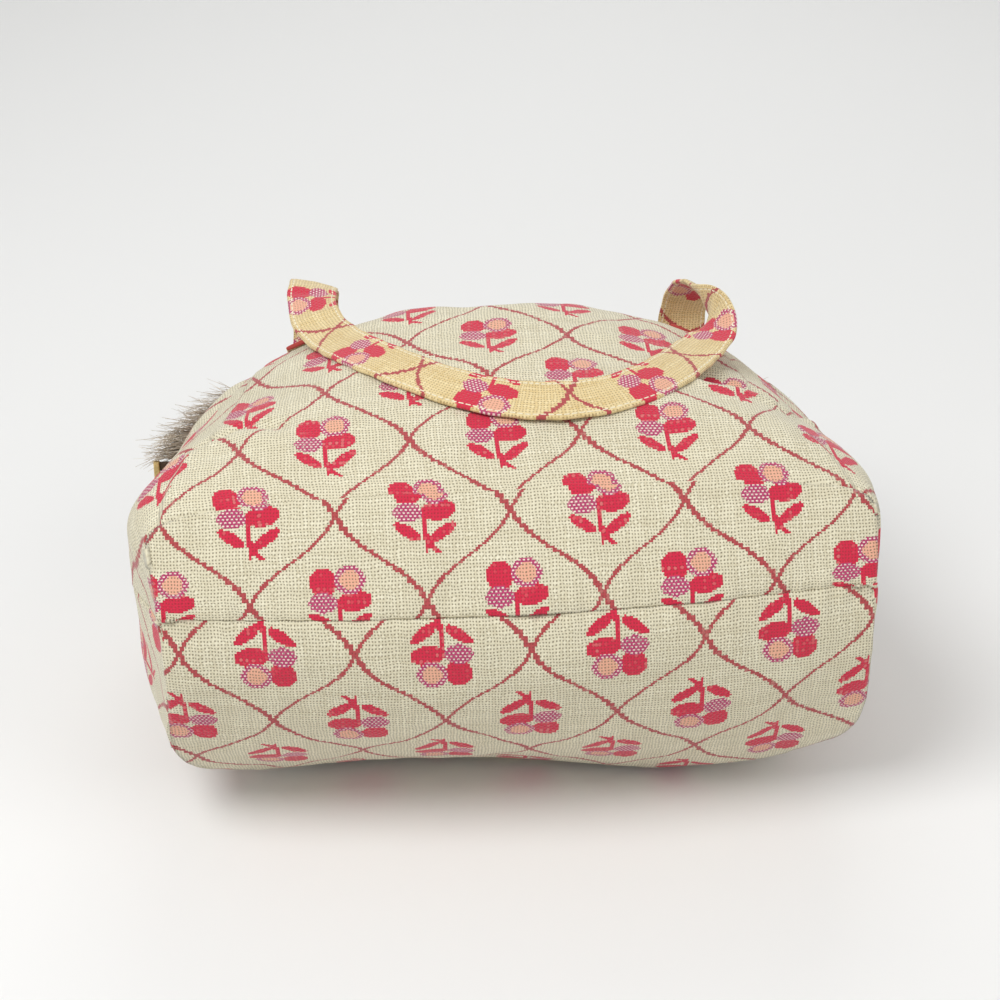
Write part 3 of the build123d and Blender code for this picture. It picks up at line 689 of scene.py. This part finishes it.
def makeSprigGroup():
    # diamond trellis with one sprig in each diamond, and every edge steps from thread to thread
    group, b, takes, gives = newGroup(
        "trellisSprig",
        [("Across", "NodeSocketFloat", 0), ("Along", "NodeSocketFloat", 0)],
        [("Red", "NodeSocketFloat"), ("Magenta", "NodeSocketFloat"), ("Peach", "NodeSocketFloat"),
         ("White", "NodeSocketFloat"), ("Trellis", "NodeSocketFloat")])
    steppedX, steppedY = b.math("ROUND", takes["Across"]), b.math("ROUND", takes["Along"])
    halfX, halfY = cloth["repeatAcross"] / 2, cloth["repeatAlong"] / 2
    first = [b.math("WRAP", steppedX, halfX, -halfX), b.math("WRAP", steppedY, halfY, -halfY)]
    second = [b.math("WRAP", b.math("ADD", steppedX, halfX), halfX, -halfX),
              b.math("WRAP", b.math("ADD", steppedY, halfY), halfY, -halfY)]
    # a diamond with softly curved sides: |x| / halfX + t - curve sin(2 pi t) = 1,
    # with t = |y| / halfY
    rise = b.math("DIVIDE", b.math("ABSOLUTE", first[1]), halfY)
    curve = b.math("MULTIPLY", b.math("SINE", b.math("MULTIPLY", rise, 2 * pi)),
                   sprigSizes["trellisCurve"])
    sideways = b.math("DIVIDE", b.math("ABSOLUTE", first[0]), halfX)
    reach = b.math("ADD", sideways, b.math("SUBTRACT", rise, curve))
    inFirst = b.math("LESS_THAN", reach, 1.0)
    x = b.math("MULTIPLY_ADD", inFirst, b.math("SUBTRACT", first[0], second[0]), second[0])
    y = b.math("MULTIPLY_ADD", inFirst, b.math("SUBTRACT", first[1], second[1]), second[1])
    point = b.vector(x, y)
    # the trellis: distance from the diamond's edge, one pair of sides waved like a rope
    slope = b.math("GREATER_THAN", b.math("MULTIPLY", first[0], first[1]), 0.0)
    twist = b.math("MULTIPLY", b.math("SUBTRACT", steppedY, steppedX), sprigSizes["ropeTwist"])
    wave = b.math("MULTIPLY", b.math("SINE", twist), sprigSizes["ropeWave"])
    waved = b.math("ADD", b.math("SUBTRACT", reach, 1.0), b.math("MULTIPLY", wave, slope))
    width = b.math("MULTIPLY_ADD", slope, sprigSizes["ropedExtra"], sprigSizes["smoothSide"])
    b.feed(gives["Trellis"], b.math("LESS_THAN", b.math("ABSOLUTE", waved), width))

    inside = {name: b.math("LESS_THAN", b.oval(point, *oval), 1.0)
              for name, oval in sprigOvals.items()}
    red = inside["topLeft"]
    for part in ("lowRight", "stem", "root", "leftLeaf", "rightLeaf"):
        red = b.math("MAXIMUM", red, inside[part])
    # in the hatched petals every second row has light dots, shifted by one from dotted row to row
    row = b.math("FLOOR", b.math("DIVIDE", b.math("ADD", takes["Along"], 1000.0),
                                 sprigSizes["dotHigh"]))
    column = b.math("FLOOR", b.math("DIVIDE", b.math("ADD", takes["Across"], 1000.0),
                                    sprigSizes["dotWide"]))
    dot = b.math("ADD", column, b.math("FLOOR", b.math("DIVIDE", row, 2.0)))
    dotted = b.math("MULTIPLY", b.math("GREATER_THAN", b.math("MODULO", row, 2.0), 0.5),
                    b.math("GREATER_THAN", b.math("MODULO", dot, 2.0), 0.5))
    ring = b.math("SUBTRACT", inside["ring"], inside["heart"])
    hatched = b.math("MAXIMUM", ring, inside["lowLeft"])
    b.feed(gives["Red"], red)
    b.feed(gives["Magenta"], b.math("MULTIPLY", hatched, b.math("SUBTRACT", 1.0, dotted)))
    b.feed(gives["White"], b.math("MULTIPLY", hatched, dotted))
    b.feed(gives["Peach"], inside["heart"])
    return group


cloth = {
    "repeatAcross": 78.0, "repeatAlong": 80.6, "frontPlace": (-2.5, 8.0), "backPlace": (35.5, 15.7),
    "groundLight": (0.82, 0.77, 0.59, 1), "groundDark": (0.64, 0.58, 0.41, 1),
    "holeShade": (0.15, 0.12, 0.06, 1), "redHoleShade": (0.12, 0.03, 0.02, 1), "red": (0.62, 0.022, 0.060, 1),
    "trellis": (0.44, 0.070, 0.075, 1), "magenta": (0.48, 0.060, 0.16, 1),
    "peach": (0.80, 0.42, 0.29, 1), "white": (0.84, 0.68, 0.60, 1),
    "roughness": 0.86, "hemStitch": 18.5, "sheen": 0.25, "specular": 0.25,
}
strapCloth = {
    "patternPlace": (-14.0, -4.0), "light": (0.84, 0.70, 0.40, 1), "dark": (0.66, 0.49, 0.22, 1),
    "holeShade": (0.24, 0.13, 0.05, 1), "stitch": (0.84, 0.76, 0.56, 1), "stitchLine": 10.4,
}


def newMaterial(name, roughness):
    material = bpy.data.materials.new(name)
    material.use_nodes = True
    board = Board(material.node_tree)
    shader = material.node_tree.nodes["Principled BSDF"]
    shader.inputs["Roughness"].default_value = roughness
    return material, board, shader


def useGroup(board, group, **values):
    node = board.add("ShaderNodeGroup", node_tree=group)
    for name, value in values.items():
        board.feed(node.inputs[name.replace("_", " ")], value)
    return node.outputs


def clothPlace(board, layer="cloth"):
    node = board.add("ShaderNodeUVMap", uv_map=layer)
    parts = board.add("ShaderNodeSeparateXYZ")
    board.feed(parts.inputs[0], node.outputs[0])
    return parts.outputs[0], parts.outputs[1]


def paintSprig(b, sprig, colour):
    # lays the pattern's colours over the ground, and gives the mask of all dark
    # coloured threads too
    for mask in ("Trellis", "Red", "Magenta", "White", "Peach"):
        colour = b.mix(sprig[mask], colour, cloth[mask.lower()])
    return colour, b.math("MAXIMUM", b.math("MAXIMUM", sprig["Red"], sprig["Trellis"]),
                          sprig["Magenta"])


def dashes(b, line, run, step, gap):
    # stitches: the line's mask where the sine along the run is above the gap's height
    return b.math("MULTIPLY", line,
                  b.math("GREATER_THAN", b.math("SINE", b.math("MULTIPLY", run, step)), gap))


def makeClothMaterial(name, place):
    material, b, shader = newMaterial(name, cloth["roughness"])
    across, along = clothPlace(b)
    weave = useGroup(b, weaveGroup, Across=across, Along=along)
    sprig = useGroup(b, sprigGroup, Across=b.math("SUBTRACT", across, place[0]),
                     Along=b.math("SUBTRACT", along, place[1]))
    soilPlace = b.vector(b.math("MULTIPLY", across, 0.01), b.math("MULTIPLY", along, 0.01))
    soil = b.ramp(b.noise(soilPlace, 2.4, 4.0), 0.45, 0.8)
    ground = b.mix(b.ramp(weave["Thread tone"], 0.25, 0.75),
                   cloth["groundDark"], cloth["groundLight"])
    ground = b.mix(b.math("MULTIPLY", soil, 0.35), ground, cloth["groundDark"])
    colour, coloured = paintSprig(b, sprig, ground)
    darkThread = b.math("SUBTRACT", 1.0, b.ramp(weave["Thread tone"], 0.30, 0.42))
    fleck = b.math("MULTIPLY", coloured, b.math("MULTIPLY", darkThread, 0.18))
    colour = b.mix(fleck, colour, cloth["groundLight"])
    # painted shade: the weave's holes are darkened as the shade seen through them, tinted red among
    # the coloured threads
    holes = b.math("MULTIPLY", weave["Hole"], b.math("MULTIPLY_ADD", coloured, -0.45, 0.95))
    colour = b.mix(holes, colour, b.mix(coloured, cloth["holeShade"], cloth["redHoleShade"]))
    edgeAcross, toMouth = clothPlace(b, "edge")
    offLine = b.math("ABSOLUTE", b.math("SUBTRACT", toMouth, cloth["hemStitch"]))
    stitchLine = b.math("LESS_THAN", offLine, 0.5)
    colour = b.mix(dashes(b, stitchLine, edgeAcross, 2.1, -0.55), colour, cloth["white"])
    b.feed(shader.inputs["Base Color"], colour)
    shader.inputs["Sheen Weight"].default_value = cloth["sheen"]
    shader.inputs["Sheen Roughness"].default_value = 0.5
    shader.inputs["Specular IOR Level"].default_value = cloth["specular"]
    height = b.math("MULTIPLY_ADD", coloured, 0.25, weave["Height"])
    height = b.math("SUBTRACT", height, b.math("MULTIPLY", stitchLine, 0.5))
    b.feed(shader.inputs["Normal"], b.bumps(height, 0.75, 0.0006))
    return material


weaveGroup = makeWeaveGroup()
sprigGroup = makeSprigGroup()
frontMaterial = makeClothMaterial("front_tapestry", cloth["frontPlace"])
backMaterial = makeClothMaterial("back_tapestry", cloth["backPlace"])


def makeStrapCloth():
    # the same tapestry folded into a strap, with the pattern running on along it
    material, b, shader = newMaterial("strap_tapestry", 0.85)
    run, width = clothPlace(b)
    weave = useGroup(b, weaveGroup, Across=run, Along=width, Thread_across=1.45, Thread_along=1.5)
    sprig = useGroup(b, sprigGroup, Across=b.math("SUBTRACT", run, strapCloth["patternPlace"][0]),
                     Along=b.math("SUBTRACT", width, strapCloth["patternPlace"][1]))
    ground = b.mix(b.ramp(weave["Thread tone"], 0.25, 0.75),
                   strapCloth["dark"], strapCloth["light"])
    colour, coloured = paintSprig(b, sprig, ground)
    # painted shade: the strap's weave holes are darkened as the shade seen through them
    holes = b.math("MULTIPLY", weave["Hole"], b.math("MULTIPLY_ADD", coloured, -0.35, 0.75))
    colour = b.mix(holes, colour, strapCloth["holeShade"])
    offLine = b.math("ABSOLUTE", b.math("SUBTRACT", b.math("ABSOLUTE", width),
                                        strapCloth["stitchLine"]))
    stitch = b.math("LESS_THAN", offLine, 0.35)
    colour = b.mix(dashes(b, stitch, run, 2.0, -0.6), colour, strapCloth["stitch"])
    b.feed(shader.inputs["Base Color"], colour)
    shader.inputs["Sheen Weight"].default_value = cloth["sheen"]
    shader.inputs["Specular IOR Level"].default_value = cloth["specular"]
    height = b.math("SUBTRACT", weave["Height"], b.math("MULTIPLY", stitch, 0.7))
    b.feed(shader.inputs["Normal"], b.bumps(height, 0.7, 0.0006))
    return material


def makeTapeMaterial():
    material, b, shader = newMaterial("zip_tape", 0.8)
    run, width = clothPlace(b)
    weave = useGroup(b, weaveGroup, Across=run, Along=width, Thread_across=0.7, Thread_along=0.6)
    b.feed(shader.inputs["Base Color"],
           b.mix(weave["Thread tone"], zipTape["dark"], zipTape["light"]))
    b.feed(shader.inputs["Normal"], b.bumps(weave["Height"], 0.5, 0.0003))
    return material


def makeThreadMaterial():
    # each strand's own tone is in the map's first value, and the way to its tip in the second; the
    # tone differs at random, its dark and brown end is painted shade on the natural cotton, and
    # every strand turns paler towards its tip
    material, b, shader = newMaterial("frayed_threads", 0.85)
    tone, run = clothPlace(b)
    # painted shade: low tones run from dark to brown
    shadedBrown = b.mix(b.ramp(tone, 0.1, 0.6), fringe["dark"], fringe["shadedBrown"])
    pale = b.mix(b.ramp(tone, 0.55, 0.75), shadedBrown, fringe["pale"])
    colour = b.mix(b.math("MULTIPLY", b.ramp(run, 0.3, 1.0), 0.6), pale, fringe["tip"])
    b.feed(shader.inputs["Base Color"], colour)
    twist = b.noise(b.add("ShaderNodeTexCoord").outputs["Object"], 2600.0, 2.0)
    b.feed(shader.inputs["Normal"], b.bumps(twist, 0.4, 0.0002))
    return material


def makeBrass(name, tint, roughness):
    material, b, shader = newMaterial(name, roughness)
    place = b.add("ShaderNodeTexCoord").outputs["Object"]
    wear = b.noise(place, 420.0, 5.0, 0.6)
    dark = tuple(0.55 * value for value in tint[:3]) + (1,)
    polish = b.ramp(wear, 0.3, 0.75)
    b.feed(shader.inputs["Base Color"], b.mix(b.ramp(wear, 0.35, 0.7), dark, tint))
    b.feed(shader.inputs["Roughness"], b.math("MULTIPLY_ADD", polish, -0.12, roughness + 0.10))
    shader.inputs["Metallic"].default_value = 1.0
    b.feed(shader.inputs["Normal"], b.bumps(b.noise(place, 1500.0, 3.0), 0.15, 0.0001))
    return material


metal = {"brass": (0.93, 0.68, 0.30, 1), "brassRoughness": 0.30,
         "teeth": (0.55, 0.38, 0.16, 1), "teethRoughness": 0.36}
strapMaterial = makeStrapCloth()
tapeMaterial = makeTapeMaterial()
threadMaterial = makeThreadMaterial()
brass = makeBrass("brass", metal["brass"], metal["brassRoughness"])
toothBrass = makeBrass("tooth_brass", metal["teeth"], metal["teethRoughness"])

print("putting the pieces in place of their solids")
dressing = [
    (frontCloth, "front_panel", frontMaterial, "panel_cloth"),
    (backCloth, "back_panel", backMaterial, "panel_cloth"),
    (frontStrap, "front_handle", strapMaterial, "strap_cloth"),
    (backStrap, "back_handle", strapMaterial, "strap_cloth"),
    (frontTape, "front_zip_tape", tapeMaterial, "zip_tape"),
    (backTape, "back_zip_tape", tapeMaterial, "zip_tape"),
    (frontFringe, "front_fringe", threadMaterial, "fringe"),
    (backFringe, "back_fringe", threadMaterial, "fringe"),
]
for piece, node, material, slotName in dressing:
    piece.data.materials.append(material)
    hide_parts(node)
    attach(piece, "bag")
metalNodes = {"zip_top_stops": brass, "zip_end_clip": brass, "zip_slider": brass, "zip_pull": brass,
              "front_zip_teeth": toothBrass, "back_zip_teeth": toothBrass}
for node, material in metalNodes.items():
    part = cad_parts[node]
    part.material_slots[0].material = material

print("floor, light and camera")
stage = {
    "floor": (0.84, 0.84, 0.83, 1), "floorDrop": 0.03, "surroundings": 0.45,
    "camera": (-49.3, -773.6, 638.0), "lens": 75.6, "pitch": 30.0, "yaw": -3.0, "roll": -1.3,
    "lights": {"key": ((-0.7, -0.6, 1.5), 0.9, 17), "fill": ((1.2, -0.9, 1.1), 1.4, 7),
               "back": ((0.2, 1.3, 1.3), 1.2, 6)},
}
# the floor runs level, then sweeps up behind the bag in a quarter circle of 600 mm
turn = np.linspace(0, pi / 2, 24)
sweepUp = [(1500 + 600 * math.sin(a), 600 - 600 * math.cos(a)) for a in turn]
profile = [(-3000.0, 0.0)] + sweepUp + [(2100.0, 3000.0)]
sweep = np.array([[[x, y, z - stage["floorDrop"]] for y, z in profile] for x in (-3500.0, 3500.0)])
floor = makeMesh("floor", sweep.reshape(-1, 3), gridFaces(2, len(profile)))
floorMaterial, _, floorShader = newMaterial("pale_floor", 0.9)
floorShader.inputs["Base Color"].default_value = stage["floor"]
floor.data.materials.append(floorMaterial)


def addLight(name, place, size, power, aim=(0, 0, 0.1)):
    light = bpy.data.lights.new(name, "AREA")
    light.shape, light.size, light.energy = "DISK", size, power
    lamp = bpy.data.objects.new(name, light)
    lamp.location = place
    lamp.rotation_euler = (Vector(aim) - Vector(place)).to_track_quat("-Z", "Y").to_euler()
    bpy.context.collection.objects.link(lamp)


for name, (place, size, power) in stage["lights"].items():
    addLight(name, place, size, power)
world = bpy.data.worlds.new("studio")
bpy.context.scene.world = world
world.use_nodes = True
world.node_tree.nodes["Background"].inputs["Color"].default_value = (1, 1, 1, 1)
world.node_tree.nodes["Background"].inputs["Strength"].default_value = stage["surroundings"]

lens = bpy.data.cameras.new("camera")
lens.lens, lens.sensor_width, lens.clip_start, lens.clip_end = stage["lens"], 36.0, 0.02, 30.0
camera = bpy.data.objects.new("camera", lens)
camera.location = toFrame([stage["camera"]])[0]
aimed = Matrix.Rotation(math.radians(stage["yaw"]), 4, "Z")
aimed @= Matrix.Rotation(math.radians(90 - stage["pitch"]), 4, "X")
aimed @= Matrix.Rotation(math.radians(stage["roll"]), 4, "Z")
camera.rotation_euler = aimed.to_euler()
bpy.context.collection.objects.link(camera)
bpy.context.scene.camera = camera
bpy.context.scene.view_settings.view_transform = "Standard"
